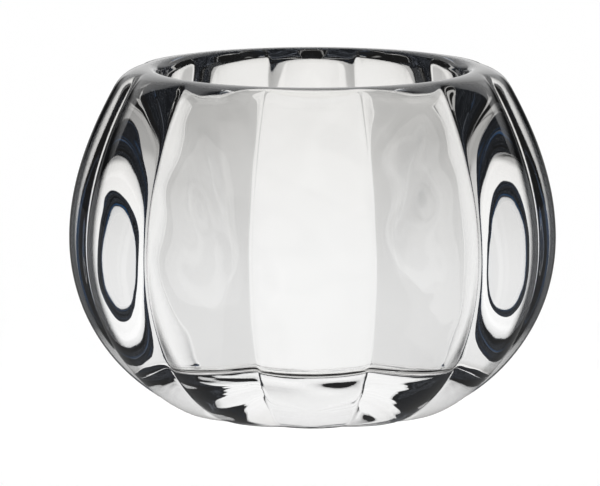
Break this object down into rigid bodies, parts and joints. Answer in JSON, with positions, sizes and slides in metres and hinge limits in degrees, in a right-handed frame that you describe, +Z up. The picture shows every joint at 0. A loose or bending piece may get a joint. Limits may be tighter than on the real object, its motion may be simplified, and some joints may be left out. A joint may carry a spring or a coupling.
{
  "type": "tealight holder",
  "caption": "Round clear pressed-glass tealight holder with bulging vertical lobes, a rounded rim, a thick floor and a smooth round well.",
  "frame": {"origin": "middle of the flat foot, on the table", "axes": "+Z up along the axis of the lobes and of the well; the crest of one lobe faces -Y, the front"},
  "size_m": [0.09, 0.09, 0.064],
  "materials": {
    "clear_glass": "fire-polished, clear and colourless"
  },
  "bodies": {
    "root": {"glass_body": "clear_glass"}
  },
  "joints": []
}
